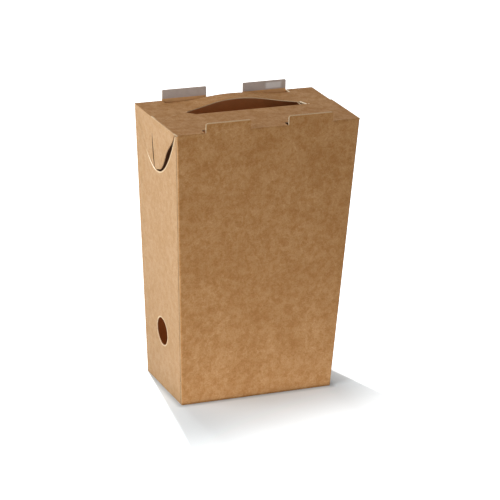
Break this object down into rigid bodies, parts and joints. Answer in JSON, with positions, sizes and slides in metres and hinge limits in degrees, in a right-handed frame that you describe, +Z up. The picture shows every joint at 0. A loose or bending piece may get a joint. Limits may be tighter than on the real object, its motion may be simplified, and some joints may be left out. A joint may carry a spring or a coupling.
{
  "type": "carton",
  "caption": "Tapered kraft take-away box with lapped lid halves, side ears tucked in curved slits, upright tabs, hand hole and round side vents.",
  "frame": {"origin": "centre of the base, on the surface the box stands on", "axes": "+X to the right seen from the front, +Y to the back, +Z up"},
  "size_m": [0.1258, 0.0764, 0.1914],
  "materials": {
    "kraft_board": "matte"
  },
  "bodies": {
    "box": {"carton": "kraft_board"},
    "lid_front": {"front_flap": "kraft_board"},
    "ear_r": {"ear_right": "kraft_board"},
    "ear_l": {"ear_left": "kraft_board"}
  },
  "joints": [
    {"name": "lid_front_hinge", "type": "hinge", "parent": "box", "child": "lid_front", "pos_m": [0, -0.038, 0.185], "axis": [1, 0, 0], "range_deg": [0, 120]},
    {"name": "ear_right_fold", "type": "hinge", "parent": "lid_front", "child": "ear_r", "pos_m": [0.0629, -0.016, 0.185], "axis": [0, -1, 0], "range_deg": [0, 90]},
    {"name": "ear_left_fold", "type": "hinge", "parent": "lid_front", "child": "ear_l", "pos_m": [-0.0629, -0.016, 0.185], "axis": [0, 1, 0], "range_deg": [0, 90]}
  ],
  "couplings": [
    {"joint": "ear_right_fold", "follows": "lid_front_hinge", "ratio": 0.75},
    {"joint": "ear_left_fold", "follows": "lid_front_hinge", "ratio": 0.75}
  ]
}
